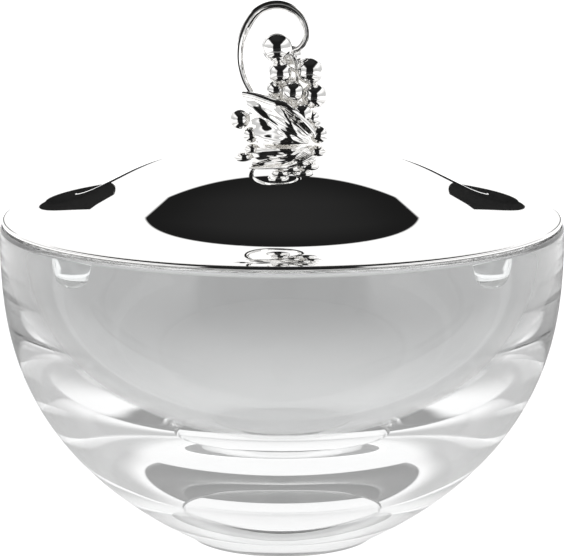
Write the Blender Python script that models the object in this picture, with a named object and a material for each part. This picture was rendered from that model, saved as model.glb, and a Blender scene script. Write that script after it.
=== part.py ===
"""A lidded sugar bowl: a thick clear crystal bowl, a spun silver lid that lies on its rim, and a
silver finial on the lid: a bunch of grapes, a vine leaf and a curled tendril.

Sizes are in millimetres and meshes in metres. +Z is up, and the origin is the middle of the foot,
on the surface that the bowl stands on. The finial's front is towards -Y.
"""

import math
from typing import NamedTuple

import bmesh
import bpy
from mathutils import Matrix, Vector

MM = 0.001

# Clearances.
GAP = 0.3  # between pieces that rest on each other or are soldered together
BUMPER_PLAY = 0.6  # between a bumper's side and the inside of the bowl

# Roundness of the meshes.
ROUND_STEPS = 48  # sides of the bowl and the lid
SMALL_STEPS = 20  # sides of the small turned pieces

# The bowl. Its outline is (r / radius) ** BULGE + (depth / reach) ** DROP = 1 from the rim down.
BOWL_RADIUS = 57.5
BOWL_HEIGHT = 65.5
BOWL_BULGE = 1.322
BOWL_DROP = 2.724
FOOT_RADIUS = 18.0
FOOT_CORNER = 0.7
RIM_WALL = 5.0
RIM_CORNER = 0.9
BASE_THICKNESS = 14.0
HOLLOW_BULGE = 1.75
HOLLOW_DROP = 2.5
BOWL_RINGS = 16

# The lid: a crown arc, a shoulder arc, a straight flank and a hollow brim arc, each tangent to the next.
LID_SETBACK = 0.5  # how far the lid's edge stands inside the bowl's
LID_SHEET = 1.0
CROWN_ANGLE = 12.8
FLANK_ANGLE = 27.0
BRIM_EDGE_ANGLE = 1.0
FLANK_RUN = 6.3
CROWN_SHARE = 0.342  # shares of the radius that the flank leaves, the brim taking the rest
SHOULDER_SHARE = 0.304
ARC_RINGS = 6

# The clear bumpers under the brim, which keep the lid in the middle.
BUMPER_COUNT = 3
BUMPER_RADIUS = 3.5
BUMPER_LENGTH = 10.5
FIRST_BUMPER_ANGLE = -30.0  # from +X, so that two stand left and right of the front

# The fixing on the axis: a stud down from the finial, a washer and a round nut under the lid.
STUD_RADIUS = 1.5
WASHER_RADIUS = 4.6
WASHER_THICKNESS = 0.8
NUT_RADIUS = 3.4
NUT_HEIGHT = 3.2
NUT_CORNER = 0.5

# The finial. Its height is from the top of the lid's crown to the top of the tendril.
FINIAL_HEIGHT = 28.8
COLLET_RADIUS = 3.9
COLLET_HEIGHT = 1.3
COLLET_CORNER = 0.4

# Places in the finial are drawn at this height and scaled to FINIAL_HEIGHT.
DRAWN_HEIGHT = 28.8

# The tendril: tangent arcs as (radius, degrees turned), from the leaf's tip up, over and down.
TENDRIL_ARCS = ((13.3, 68.0), (6.1, 139.0), (3.8, 95.7))
TENDRIL_START = Vector((-6.3, -0.3, 10.3))
TENDRIL_HEADING = 123.5
TENDRIL_BACK = 2.6  # how far its end has moved to the back
TENDRIL_RADII = (0.5, 0.62, 1.0, 0.95, 0.62, 0.45)  # at equal steps along its length
TENDRIL_STEPS = 46
TENDRIL_SIDES = 10

# The leaf: a sheet between a foot edge on the crown and a free edge that falls from its tip.
LEAF_SHEET = 0.6
LEAF_FOOT_ENDS = (Vector((-5.0, -3.3, 0.0)), Vector((5.2, -3.5, 0.0)))
LEAF_FOOT_FRONT = 2.4  # how far the foot edge bulges to the front
LEAF_TIP = Vector((-7.5, -1.0, 9.8))
LEAF_CORNER = Vector((6.2, -3.4, 2.2))
LEAF_EDGE_RISE = 1.9
LEAF_EDGE_FRONT = 2.2
LEAF_BELLY = 1.3
LEAF_COLUMNS = 14
LEAF_ROWS = 7

# The stalk that the grapes grow from.
STALK_RADIUS = 0.5
STALK_POINTS = (
    Vector((0.8, 0.9, 1.9)),
    Vector((1.5, 1.1, 4.7)),
    Vector((3.1, 0.8, 8.4)),
    Vector((3.1, 0.5, 12.0)),
    Vector((2.9, 0.9, 15.4)),
)
STALK_SIDES = 8


class Grape(NamedTuple):
    """A bead's middle, from the top of the crown, and its radius."""

    x: float
    y: float
    z: float
    radius: float


GRAPES = (
    # The front of the bunch, from the top down.
    Grape(-1.0, -1.2, 19.4, 2.8),
    Grape(-0.4, -2.0, 14.3, 2.1),
    Grape(5.6, -0.9, 14.6, 2.5),
    Grape(2.2, -2.6, 10.6, 1.95),
    Grape(6.5, -0.7, 9.5, 2.35),
    Grape(4.0, -3.1, 6.3, 1.8),
    Grape(-1.2, -0.2, 10.6, 1.8),
    Grape(0.5, -1.0, 7.1, 1.65),
    Grape(7.4, -1.5, 1.7, 1.6),
    Grape(6.0, -0.2, 4.9, 1.4),
    # Beside the leaf's tip.
    Grape(-8.5, 0.1, 4.6, 1.8),
    Grape(-6.2, -0.4, 1.5, 1.4),
    # The back of the bunch, from the top down.
    Grape(2.0, 4.4, 17.1, 1.8),
    Grape(-0.4, 3.4, 14.2, 2.0),
    Grape(4.6, 3.9, 14.2, 1.9),
    Grape(1.8, 4.1, 10.7, 1.9),
    Grape(6.1, 4.0, 9.0, 1.9),
    Grape(-1.2, 3.3, 7.9, 1.7),
    Grape(3.5, 4.4, 5.8, 1.9),
    Grape(-4.3, 1.6, 4.8, 1.6),
    Grape(-0.6, 4.9, 3.9, 1.7),
    Grape(6.2, 3.2, 3.0, 1.6),
)

# Colours.
SILVER = (0.93, 0.93, 0.92)
STEEL = (0.62, 0.63, 0.64)
CRYSTAL = (0.95, 0.97, 0.97)
CLEAR_RUBBER = (0.88, 0.90, 0.90)


# Sizes that follow from those above.
LID_RADIUS = BOWL_RADIUS - LID_SETBACK
HOLLOW_RADIUS = BOWL_RADIUS - RIM_WALL
FINIAL_SCALE = FINIAL_HEIGHT / DRAWN_HEIGHT
BRIM_Z = BOWL_HEIGHT + GAP + LID_SHEET


def lid_arcs():
    """The radii of the crown, shoulder and brim arcs, which fill the lid's radius with the flank."""
    sines = [math.sin(math.radians(a)) for a in (CROWN_ANGLE, FLANK_ANGLE, BRIM_EDGE_ANGLE)]
    curved = LID_RADIUS - FLANK_RUN
    crown = curved * CROWN_SHARE / sines[0]
    shoulder = curved * SHOULDER_SHARE / (sines[1] - sines[0])
    brim = curved * (1 - CROWN_SHARE - SHOULDER_SHARE) / (sines[1] - sines[2])
    return crown, shoulder, brim


def arc_steps(first, last, count):
    """Angles in radians from first to last, both in degrees."""
    return [math.radians(first + (last - first) * i / count) for i in range(count + 1)]


def lid_outline():
    """Points (radius, height, slope angle) along the lid's upper side, from its middle out to its edge."""
    crown, shoulder, brim = lid_arcs()
    points = []
    for angle in arc_steps(BRIM_EDGE_ANGLE, FLANK_ANGLE, 2 * ARC_RINGS):
        start = math.radians(BRIM_EDGE_ANGLE)
        r = LID_RADIUS - brim * (math.sin(angle) - math.sin(start))
        z = BRIM_Z + brim * (math.cos(start) - math.cos(angle))
        points.append((r, z, angle))
    flank = math.radians(FLANK_ANGLE)
    flank_end = (points[-1][0] - FLANK_RUN, points[-1][1] + FLANK_RUN * math.tan(flank))
    for angle in arc_steps(FLANK_ANGLE, CROWN_ANGLE, ARC_RINGS):
        r = flank_end[0] - shoulder * (math.sin(flank) - math.sin(angle))
        z = flank_end[1] + shoulder * (math.cos(angle) - math.cos(flank))
        points.append((r, z, angle))
    crown_end = points[-1]
    for angle in arc_steps(CROWN_ANGLE, 0, ARC_RINGS)[1:]:
        r = crown * math.sin(angle)
        z = crown_end[1] + crown * (math.cos(angle) - math.cos(crown_end[2]))
        points.append((r, z, angle))
    return points[::-1]


LID_OUTLINE = lid_outline()
CROWN_TOP = LID_OUTLINE[0][1]


def crown_drop(r):
    """How far the lid's upper side lies below its middle at this radius, inside the crown arc."""
    crown = lid_arcs()[0]
    return crown - math.sqrt(crown * crown - r * r)


def lid_at(r):
    """Height and slope angle of the lid's upper side at this radius."""
    for inner, outer in zip(LID_OUTLINE, LID_OUTLINE[1:]):
        if inner[0] <= r <= outer[0]:
            share = (r - inner[0]) / (outer[0] - inner[0])
            return tuple(a + share * (b - a) for a, b in zip(inner[1:], outer[1:]))
    raise ValueError(f"the lid doesn't reach {r} mm")


def clear_scene():
    """Remove every object."""
    for obj in list(bpy.data.objects):
        bpy.data.objects.remove(obj, do_unlink=True)


def make_material(name, colour, roughness, metallic=0.0, transmission=0.0):
    """A new Principled material."""
    material = bpy.data.materials.new(name)
    material.use_nodes = True
    shader = material.node_tree.nodes["Principled BSDF"]
    shader.inputs["Base Color"].default_value = (*colour, 1.0)
    shader.inputs["Roughness"].default_value = roughness
    shader.inputs["Metallic"].default_value = metallic
    shader.inputs["Transmission Weight"].default_value = transmission
    return material


def add_object(name, data, material, parent=None, location=(0, 0, 0)):
    """Link an object for this mesh or curve, at a location in millimetres under its parent."""
    obj = bpy.data.objects.new(name, data)
    bpy.context.scene.collection.objects.link(obj)
    data.materials.append(material)
    obj.parent = parent
    obj.location = Vector(location) * MM
    return obj


def add_empty(name, parent=None, location=(0, 0, 0)):
    """An empty at a location in millimetres under its parent."""
    obj = bpy.data.objects.new(name, None)
    bpy.context.scene.collection.objects.link(obj)
    obj.parent = parent
    obj.location = Vector(location) * MM
    return obj


def finish_mesh(bm, name):
    """Turn the bmesh, in millimetres, into a smooth-shaded mesh in metres."""
    bmesh.ops.remove_doubles(bm, verts=bm.verts, dist=1e-4)
    bmesh.ops.recalc_face_normals(bm, faces=bm.faces)
    bmesh.ops.scale(bm, vec=(MM, MM, MM), verts=bm.verts)
    mesh = bpy.data.meshes.new(name)
    bm.to_mesh(mesh)
    bm.free()
    mesh.shade_smooth()
    mesh.set_sharp_from_angle(angle=math.radians(40))
    return mesh


def turned_mesh(name, outline, steps, closed):
    """Spin an outline of (radius, height) points round Z. A closed one leaves a hole on the axis."""
    bm = bmesh.new()
    verts = [bm.verts.new((r, 0, z)) for r, z in outline]
    edges = [bm.edges.new(pair) for pair in zip(verts, verts[1:])]
    if closed:
        edges.append(bm.edges.new((verts[-1], verts[0])))
    bmesh.ops.spin(
        bm, geom=verts + edges, cent=(0, 0, 0), axis=(0, 0, 1), angle=math.tau, steps=steps, use_merge=True
    )
    return finish_mesh(bm, name)


def corner(centre_r, centre_z, radius, first, last, steps=3):
    """A rounded corner as (radius, height) points, from one angle to another, in degrees."""
    return [
        (centre_r + radius * math.cos(a), centre_z + radius * math.sin(a))
        for a in arc_steps(first, last, steps)
    ]


def swelling(radius, reach, bulge, drop, depth):
    """Radius of the bowl's outline at this depth below the rim."""
    return radius * (1 - (depth / reach) ** drop) ** (1 / bulge)


def bowl_reach():
    """The depth at which the outer outline would meet the axis, so that it meets the foot's radius."""
    share = (FOOT_RADIUS / BOWL_RADIUS) ** BOWL_BULGE
    return BOWL_HEIGHT / (1 - share) ** (1 / BOWL_DROP)


def bowl_outer():
    """The outer side from above the foot's corner up to below the rim's corner."""
    points = []
    for i in range(BOWL_RINGS + 1):
        spread = math.sin(math.pi / 2 * (1 - i / BOWL_RINGS))
        depth = RIM_CORNER + (BOWL_HEIGHT - FOOT_CORNER - RIM_CORNER) * spread
        r = swelling(BOWL_RADIUS, bowl_reach(), BOWL_BULGE, BOWL_DROP, depth)
        points.append((r, BOWL_HEIGHT - depth))
    return points


def bowl_inner():
    """The hollow, from below the rim's inner corner down to its lowest point on the axis."""
    depth = BOWL_HEIGHT - BASE_THICKNESS
    points = []
    for i in range(BOWL_RINGS + 1):
        angle = math.pi / 2 * i / BOWL_RINGS
        r = HOLLOW_RADIUS * math.cos(angle) ** (2 / HOLLOW_BULGE)
        d = RIM_CORNER + (depth - RIM_CORNER) * math.sin(angle) ** (2 / HOLLOW_DROP)
        points.append((r, BOWL_HEIGHT - d))
    points[-1] = (0.0, BASE_THICKNESS)
    return points


def glass_bowl(material):
    """The crystal bowl: a flat foot, a very thick base and a wall that thins towards the rounded rim."""
    outer, inner = bowl_outer(), bowl_inner()
    foot = [(0.0, 0.0), (outer[0][0] - FOOT_CORNER, 0.0)]
    outer_rim = corner(outer[-1][0] - RIM_CORNER, BOWL_HEIGHT - RIM_CORNER, RIM_CORNER, 0, 90)
    inner_rim = corner(inner[0][0] + RIM_CORNER, BOWL_HEIGHT - RIM_CORNER, RIM_CORNER, 90, 180)
    outline = foot + outer[:-1] + outer_rim + inner_rim[:-1] + inner
    return add_object("glass_bowl", turned_mesh("glass_bowl", outline, ROUND_STEPS, False), material)


def lid_underside(point):
    """The point of the sheet's underside below this point of its upper side."""
    r, z, angle = point
    return r - LID_SHEET * math.sin(angle), z - LID_SHEET * math.cos(angle)


def lid_shell(material, parent):
    """The spun sheet with a rounded edge and a hole in its crown for the stud."""
    hole = STUD_RADIUS + GAP
    outline = [(r, z) for r, z, _ in LID_OUTLINE if r > hole]
    below = [lid_underside(point) for point in LID_OUTLINE if point[0] > hole + LID_SHEET]
    edge_r, edge_z = outline[-1]
    edge = corner(edge_r - LID_SHEET / 2, edge_z - LID_SHEET / 2, LID_SHEET / 2, 90, -90, 4)
    top = CROWN_TOP - crown_drop(hole)
    outline = [(hole, top)] + outline[:-1] + edge + below[-2::-1] + [(hole, top - LID_SHEET)]
    return add_object("lid_shell", turned_mesh("lid_shell", outline, ROUND_STEPS, True), material, parent)


def bumper_mesh():
    """A clear bumper: a short cylinder with a ball nose, its flat back at the origin, pointing along -Z."""
    flat = BUMPER_LENGTH - BUMPER_RADIUS
    nose = corner(0, -flat, BUMPER_RADIUS, 0, -90, 5)[:-1]
    outline = [(0.0, 0.0), (BUMPER_RADIUS, 0.0)] + nose + [(0.0, -BUMPER_LENGTH)]
    return turned_mesh("bumper", outline, SMALL_STEPS, False)


def bumpers(material, parent):
    """Bumpers square to the brim's underside, as near the inside of the bowl as their play allows."""
    mesh = bumper_mesh()
    r = HOLLOW_RADIUS - BUMPER_PLAY - BUMPER_RADIUS
    z, angle = lid_at(r)
    back = LID_SHEET + GAP
    for i in range(BUMPER_COUNT):
        turn = math.radians(FIRST_BUMPER_ANGLE + 360 * i / BUMPER_COUNT)
        place = Vector((r - back * math.sin(angle), 0, z - back * math.cos(angle)))
        obj = add_object(f"bumper_{i + 1}", mesh, material, parent)
        turned = Matrix.Rotation(turn, 4, "Z")
        lean = Matrix.Rotation(angle, 4, "Y")
        obj.matrix_local = Matrix.Translation(turned @ place * MM) @ turned @ lean


def ring_mesh(name, inner, outer, low, high, chamfer=0.0):
    """A turned ring with its outer corners cut back by the chamfer."""
    outline = [(inner, low), (outer - chamfer, low), (outer, low + chamfer)]
    outline += [(outer, high - chamfer), (outer - chamfer, high), (inner, high)]
    if not chamfer:
        outline = [(inner, low), (outer, low), (outer, high), (inner, high)]
    return turned_mesh(name, outline, SMALL_STEPS, True)


def fixing(silver, steel, parent):
    """The stud, the washer and the round nut on the axis. Everything here is round."""
    hole = STUD_RADIUS + GAP
    washer_top = CROWN_TOP - crown_drop(hole) - LID_SHEET - GAP - crown_drop(WASHER_RADIUS)
    nut_top = washer_top - WASHER_THICKNESS - GAP
    stud_end = nut_top - NUT_HEIGHT
    stud_top = CROWN_TOP
    stud_outline = [(0.0, stud_end), (STUD_RADIUS, stud_end), (STUD_RADIUS, stud_top), (0.0, stud_top)]
    stud = turned_mesh("fixing_stud", stud_outline, SMALL_STEPS, False)
    add_object("fixing_stud", stud, silver, parent)
    washer = ring_mesh("washer", hole, WASHER_RADIUS, washer_top - WASHER_THICKNESS, washer_top)
    add_object("washer", washer, steel, parent)
    nut = ring_mesh("round_nut", hole, NUT_RADIUS, stud_end, nut_top, NUT_CORNER)
    add_object("round_nut", nut, silver, parent)


def finial_collet(material, parent):
    """The round foot that the finial's pieces are soldered to. It covers the hole in the crown."""
    low, high = GAP, GAP + COLLET_HEIGHT
    outline = [(0.0, low), (COLLET_RADIUS, low - crown_drop(COLLET_RADIUS))]
    outline += corner(COLLET_RADIUS - COLLET_CORNER, high - COLLET_CORNER, COLLET_CORNER, 0, 90)
    outline += [(0.0, high)]
    add_object("finial_collet", turned_mesh("finial_collet", outline, SMALL_STEPS, False), material, parent)


def tube_mesh(name, points, radii, sides):
    """A closed tube through the points, round in section, with its own radius at each point."""
    bm = bmesh.new()
    rings = []
    side = Vector((0, 1, 0))
    for i, (point, radius) in enumerate(zip(points, radii)):
        ahead = (points[min(i + 1, len(points) - 1)] - points[max(i - 1, 0)]).normalized()
        side = (side - ahead * side.dot(ahead)).normalized()
        other = ahead.cross(side)
        ring = []
        for k in range(sides):
            turn = math.tau * k / sides
            ring.append(bm.verts.new(point + radius * (math.cos(turn) * side + math.sin(turn) * other)))
        rings.append(ring)
    for low, high in zip(rings, rings[1:]):
        for k in range(sides):
            bm.faces.new((low[k - 1], low[k], high[k], high[k - 1]))
    bm.faces.new(rings[0])
    bm.faces.new(rings[-1])
    return finish_mesh(bm, name)


def tendril_points():
    """Points along the tendril, which turns clockwise seen from the front and drifts to the back."""
    length = sum(radius * math.radians(turn) for radius, turn in TENDRIL_ARCS)
    step = length / TENDRIL_STEPS
    points = []
    arc_ends = []
    walked = 0.0
    for radius, turn in TENDRIL_ARCS:
        walked += radius * math.radians(turn)
        arc_ends.append((walked, radius))
    place = TENDRIL_START.copy()
    heading = math.radians(TENDRIL_HEADING)
    for i in range(TENDRIL_STEPS + 1):
        share = i / TENDRIL_STEPS
        back = TENDRIL_BACK * share**3
        points.append((place + Vector((0, back, 0))) * FINIAL_SCALE)
        radius = next((r for end, r in arc_ends if i * step < end), arc_ends[-1][1])
        heading -= step / radius / 2
        place += Vector((math.cos(heading), 0, math.sin(heading))) * step
        heading -= step / radius / 2
    return points


def between(values, share):
    """The value at this share of the way along a list of equally spaced values."""
    place = share * (len(values) - 1)
    low = min(int(place), len(values) - 2)
    return values[low] + (values[low + 1] - values[low]) * (place - low)


def tendril(material, parent):
    """The tapered wire that curls up from the leaf's tip and over the bunch."""
    points = tendril_points()
    radii = [between(TENDRIL_RADII, i / TENDRIL_STEPS) * FINIAL_SCALE for i in range(len(points))]
    mesh = tube_mesh("tendril", points, radii, TENDRIL_SIDES)
    add_object("tendril", mesh, material, parent)


def on_crown(point, lift):
    """The point moved up or down to stand this high above the crown."""
    return Vector((point.x, point.y, lift - crown_drop(math.hypot(point.x, point.y))))


def leaf_point(across, up):
    """A point on the leaf's inner side: across from 0 at its tip's side to 1, up from 0 at its foot."""
    bow = math.sin(math.pi * across)
    foot = LEAF_FOOT_ENDS[0].lerp(LEAF_FOOT_ENDS[1], across)
    foot = (foot + Vector((0, -LEAF_FOOT_FRONT * bow, 0))) * FINIAL_SCALE
    foot = on_crown(foot, GAP + LEAF_SHEET)
    edge = LEAF_TIP.lerp(LEAF_CORNER, across)
    edge += Vector((0, -LEAF_EDGE_FRONT * bow, LEAF_EDGE_RISE * bow))
    edge *= FINIAL_SCALE
    belly = Vector((0, -LEAF_BELLY * FINIAL_SCALE * math.sin(math.pi * up) * bow, 0))
    return foot.lerp(edge, up) + belly


def vine_leaf(material, parent):
    """The leaf round the front of the finial's foot, a sheet with a sheet's thickness."""
    bm = bmesh.new()
    grid = [
        [bm.verts.new(leaf_point(i / LEAF_COLUMNS, j / LEAF_ROWS)) for i in range(LEAF_COLUMNS + 1)]
        for j in range(LEAF_ROWS + 1)
    ]
    for low, high in zip(grid, grid[1:]):
        for i in range(LEAF_COLUMNS):
            bm.faces.new((low[i], low[i + 1], high[i + 1], high[i]))
    leaf = add_object("vine_leaf", finish_mesh(bm, "vine_leaf"), material, parent)
    sheet = leaf.modifiers.new("sheet", "SOLIDIFY")
    sheet.thickness = LEAF_SHEET * MM
    sheet.offset = 0.0
    return leaf


def grape_stalk(material, parent):
    """The bent wire in the middle of the bunch, standing on the collet."""
    points = [point * FINIAL_SCALE for point in STALK_POINTS]
    points[0].z = GAP + COLLET_HEIGHT + GAP
    smooth = []
    for i, (start, end) in enumerate(zip(points, points[1:])):
        before = points[max(i - 1, 0)]
        after = points[min(i + 2, len(points) - 1)]
        for k in range(4):
            smooth.append(through(before, start, end, after, k / 4))
    smooth.append(points[-1])
    mesh = tube_mesh("grape_stalk", smooth, [STALK_RADIUS] * len(smooth), STALK_SIDES)
    add_object("grape_stalk", mesh, material, parent)


def through(before, start, end, after, share):
    """A point between start and end on the smooth curve through all four."""
    squared = share * share
    cubed = squared * share
    return 0.5 * (
        2 * start
        + (end - before) * share
        + (2 * before - 5 * start + 4 * end - after) * squared
        + (3 * start - before - 3 * end + after) * cubed
    )


def grapes(material, parent):
    """The bunch: one bead for each grape, standing clear of the crown and of each other."""
    for i, grape in enumerate(GRAPES):
        radius = grape.radius * FINIAL_SCALE
        place = Vector((grape.x, grape.y, grape.z)) * FINIAL_SCALE
        bm = bmesh.new()
        bmesh.ops.create_uvsphere(bm, u_segments=12, v_segments=8, radius=radius)
        name = f"grape_{i + 1:02d}"
        add_object(name, finish_mesh(bm, name), material, parent, place)


def main():
    """Build every piece under the empty of the joint that carries it."""
    clear_scene()
    silver = make_material("silver", SILVER, 0.05, metallic=1.0)
    steel = make_material("steel", STEEL, 0.25, metallic=1.0)
    crystal = make_material("crystal", CRYSTAL, 0.0, transmission=1.0)
    clear_rubber = make_material("clear_rubber", CLEAR_RUBBER, 0.15, transmission=0.9)
    glass_bowl(crystal)
    lift_axis = add_empty("lid_lift_axis")
    fixing(silver, steel, lift_axis)
    turn_axis = add_empty("lid_turn_axis", lift_axis)
    lid_shell(silver, turn_axis)
    bumpers(clear_rubber, turn_axis)
    crown = add_empty("crown_top", turn_axis, (0, 0, CROWN_TOP))
    finial_collet(silver, crown)
    grape_stalk(silver, crown)
    tendril(silver, crown)
    vine_leaf(silver, crown)
    grapes(silver, crown)


main()
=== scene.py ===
"""The looks of a lidded sugar bowl: heavy clear crystal, a mirror-polished silver lid and a vine finial.

Lengths are in metres, +Z is up, and the origin is the middle of the bowl's foot. The finial's front
faces -Y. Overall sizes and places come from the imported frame.
"""

import logging
import math
from collections.abc import Sequence
from dataclasses import dataclass
from enum import Enum

import bmesh
import bpy
from mathutils import Matrix, Vector


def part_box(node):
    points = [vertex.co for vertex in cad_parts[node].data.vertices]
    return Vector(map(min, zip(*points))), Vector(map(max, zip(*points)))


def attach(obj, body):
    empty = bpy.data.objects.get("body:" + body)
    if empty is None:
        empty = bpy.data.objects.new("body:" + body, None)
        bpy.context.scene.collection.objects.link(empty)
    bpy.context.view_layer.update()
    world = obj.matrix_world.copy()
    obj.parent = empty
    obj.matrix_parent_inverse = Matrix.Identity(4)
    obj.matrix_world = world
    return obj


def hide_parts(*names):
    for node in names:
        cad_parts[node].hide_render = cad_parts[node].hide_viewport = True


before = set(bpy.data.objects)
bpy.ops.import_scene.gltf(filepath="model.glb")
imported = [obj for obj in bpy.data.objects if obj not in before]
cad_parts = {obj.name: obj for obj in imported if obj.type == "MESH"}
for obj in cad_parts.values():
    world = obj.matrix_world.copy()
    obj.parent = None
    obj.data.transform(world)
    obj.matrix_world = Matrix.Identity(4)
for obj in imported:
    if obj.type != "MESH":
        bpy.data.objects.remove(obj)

MM = 0.001
AXIS = 1e-7  # an outline point nearer the axis than this lies on it
LOG = logging.getLogger("sugar_bowl")

Outline = list[tuple[float, float]]
Colour = tuple[float, float, float]


class Body(Enum):
    """The rigid bodies that pieces ride on."""

    BOWL = "bowl"
    HUB = "hub"
    LID = "lid"


class Slot(Enum):
    """The record's material slots."""

    CRYSTAL = "crystal"
    LID = "silver_lid"
    FINIAL = "silver_finial"
    FIXING = "silver_fixing"
    STEEL = "steel"
    RUBBER = "clear_rubber"


# ---------------------------------------------------------------- mesh helpers


def arc(centre_r: float, centre_z: float, radius: float, first: float, last: float, steps: int) -> Outline:
    """Points on an arc in the (radius, height) plane.

    Args:
        centre_r: Radius of the arc's centre.
        centre_z: Height of the arc's centre.
        radius: The arc's own radius.
        first: Angle of the first point, in degrees.
        last: Angle of the last point, in degrees.
        steps: Number of steps between them.

    Returns:
        The points, first and last included.
    """
    angles = [math.radians(first + (last - first) * i / steps) for i in range(steps + 1)]
    return [(centre_r + radius * math.cos(a), centre_z + radius * math.sin(a)) for a in angles]


def finish_mesh(bm: bmesh.types.BMesh, name: str) -> bpy.types.Mesh:
    """Close a bmesh into a smooth-shaded mesh whose faces point out.

    Args:
        bm: The bmesh, which is freed.
        name: Name of the new mesh.

    Returns:
        The mesh.
    """
    bmesh.ops.recalc_face_normals(bm, faces=bm.faces)
    mesh = bpy.data.meshes.new(name)
    bm.to_mesh(mesh)
    bm.free()
    mesh.shade_smooth()
    mesh.set_sharp_from_angle(angle=math.radians(50))
    return mesh


def turned_mesh(name: str, outline: Outline, sides: int, closed: bool = False) -> bpy.types.Mesh:
    """Turn an outline round Z.

    Args:
        name: Name of the new mesh.
        outline: (radius, height) points. An open outline may start or end on the axis.
        sides: Number of sides.
        closed: True for a ring, whose outline meets itself and leaves the axis open.

    Returns:
        The turned mesh.
    """
    bm = bmesh.new()
    turns = [(math.cos(math.tau * k / sides), math.sin(math.tau * k / sides)) for k in range(sides)]
    rings = []
    for r, z in outline:
        if r < AXIS:
            rings.append([bm.verts.new((0.0, 0.0, z))] * sides)
        else:
            rings.append([bm.verts.new((r * x, r * y, z)) for x, y in turns])
    pairs = list(zip(rings, rings[1:]))
    if closed:
        pairs.append((rings[-1], rings[0]))
    for low, high in pairs:
        for k in range(sides):
            corners_of = dict.fromkeys((low[k - 1], low[k], high[k], high[k - 1]))
            if len(corners_of) > 2:
                bm.faces.new(corners_of)
    return finish_mesh(bm, name)


def bridge(bm: bmesh.types.BMesh, rings: Sequence[Sequence[bmesh.types.BMVert]]) -> None:
    """Join each ring of points to the next with faces.

    Args:
        bm: The bmesh.
        rings: Closed rings with the same number of points.
    """
    for low, high in zip(rings, rings[1:]):
        for k in range(len(low)):
            bm.faces.new((low[k - 1], low[k], high[k], high[k - 1]))


def add_tube(bm: bmesh.types.BMesh, points: Sequence[Vector], radii: Sequence[float], sides: int,
             face: Vector = Vector((0.0, 1.0, 0.0)), flatness: float = 1.0) -> None:
    """Add a tube with round ends to a bmesh.

    Args:
        bm: The bmesh.
        points: Points along the tube's middle.
        radii: Its radius at each point.
        sides: Sides of its section.
        face: The direction in which the section is flattened at the tube's start.
        flatness: The section's thickness that way over its width.
    """
    tips = 5
    first, last = (points[1] - points[0]).normalized(), (points[-1] - points[-2]).normalized()
    caps = [math.radians(90 * (k + 0.5) / tips) for k in range(tips)]
    line = [(points[0] - first * radii[0] * math.cos(a), radii[0] * math.sin(a)) for a in caps]
    line += list(zip(points, radii))
    line += [(points[-1] + last * radii[-1] * math.cos(a), radii[-1] * math.sin(a)) for a in caps[::-1]]
    turns = [(math.cos(math.tau * k / sides), math.sin(math.tau * k / sides)) for k in range(sides)]
    thin = face
    rings = []
    for i, (point, radius) in enumerate(line):
        ahead = (line[min(i + 1, len(line) - 1)][0] - line[max(i - 1, 0)][0]).normalized()
        thin = (thin - ahead * thin.dot(ahead)).normalized()
        wide = ahead.cross(thin)
        rings.append([bm.verts.new(point + radius * (flatness * c * thin + s * wide)) for c, s in turns])
    bridge(bm, rings)
    bm.faces.new(rings[0])
    bm.faces.new(rings[-1])


def sheet_mesh(name: str, grid: Sequence[Sequence[Vector]], thickness: float) -> bpy.types.Mesh:
    """A closed sheet along a grid of points.

    Args:
        name: Name of the new mesh.
        grid: Columns of points in the middle of the sheet.
        thickness: The sheet's thickness.

    Returns:
        The sheet.
    """
    columns, rows = len(grid), len(grid[0])
    sides = []
    bm = bmesh.new()
    for half in (-thickness / 2, thickness / 2):
        face = []
        for i in range(columns):
            line = []
            for j in range(rows):
                across = grid[min(i + 1, columns - 1)][j] - grid[max(i - 1, 0)][j]
                up = grid[i][min(j + 1, rows - 1)] - grid[i][max(j - 1, 0)]
                line.append(bm.verts.new(grid[i][j] + across.cross(up).normalized() * half))
            face.append(line)
        sides.append(face)
        for left, right in zip(face, face[1:]):
            for j in range(rows - 1):
                bm.faces.new((left[j], right[j], right[j + 1], left[j + 1]))
    borders = []
    for face in sides:
        border = [column[0] for column in face] + face[-1][1:]
        border += [column[-1] for column in face[-2::-1]] + face[0][-2:0:-1]
        borders.append(border)
    bridge(bm, borders)
    return finish_mesh(bm, name)


def smooth_line(points: Sequence[Vector], steps: int) -> list[Vector]:
    """A smooth line through points.

    Args:
        points: The points.
        steps: Steps between each two of them.

    Returns:
        Points along the line, the first and the last included.
    """
    line = []
    for i, (start, end) in enumerate(zip(points, points[1:])):
        lead_in, lead_out = (end - points[max(i - 1, 0)]) / 2, (points[min(i + 2, len(points) - 1)] - start) / 2
        for k in range(steps):
            t = k / steps
            keep, bend = t * t * (3 - 2 * t), t * (1 - t)
            line.append(start.lerp(end, keep) + lead_in * bend * (1 - t) - lead_out * bend * t)
    return line + [points[-1].copy()]


def smooth_between(values: Sequence[float], share: float) -> float:
    """The eased value at this share of the way along equally spaced values.

    Args:
        values: The values.
        share: 0 at the first to 1 at the last.

    Returns:
        The value there.
    """
    place = share * (len(values) - 1)
    low = min(int(place), len(values) - 2)
    t = place - low
    return values[low] + (values[low + 1] - values[low]) * t * t * (3 - 2 * t)


def add_piece(name: str, mesh: bpy.types.Mesh, material: bpy.types.Material, body: Body,
              nodes: Sequence[str] = ()) -> bpy.types.Object:
    """Link a piece, dress it and let it ride on its body.

    Args:
        name: Name of the piece.
        mesh: Its mesh, in the frame's own metres.
        material: Its finish.
        body: The body that carries it.
        nodes: The CAD nodes that it stands for.

    Returns:
        The new object.
    """
    piece = bpy.data.objects.new(name, mesh)
    bpy.context.scene.collection.objects.link(piece)
    mesh.materials.append(material)
    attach(piece, body.value)
    if nodes:
        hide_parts(*nodes)
    LOG.info("%s: %d faces on body %s", name, len(mesh.polygons), body.value)
    return piece


# ---------------------------------------------------------------- shared effects


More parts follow.
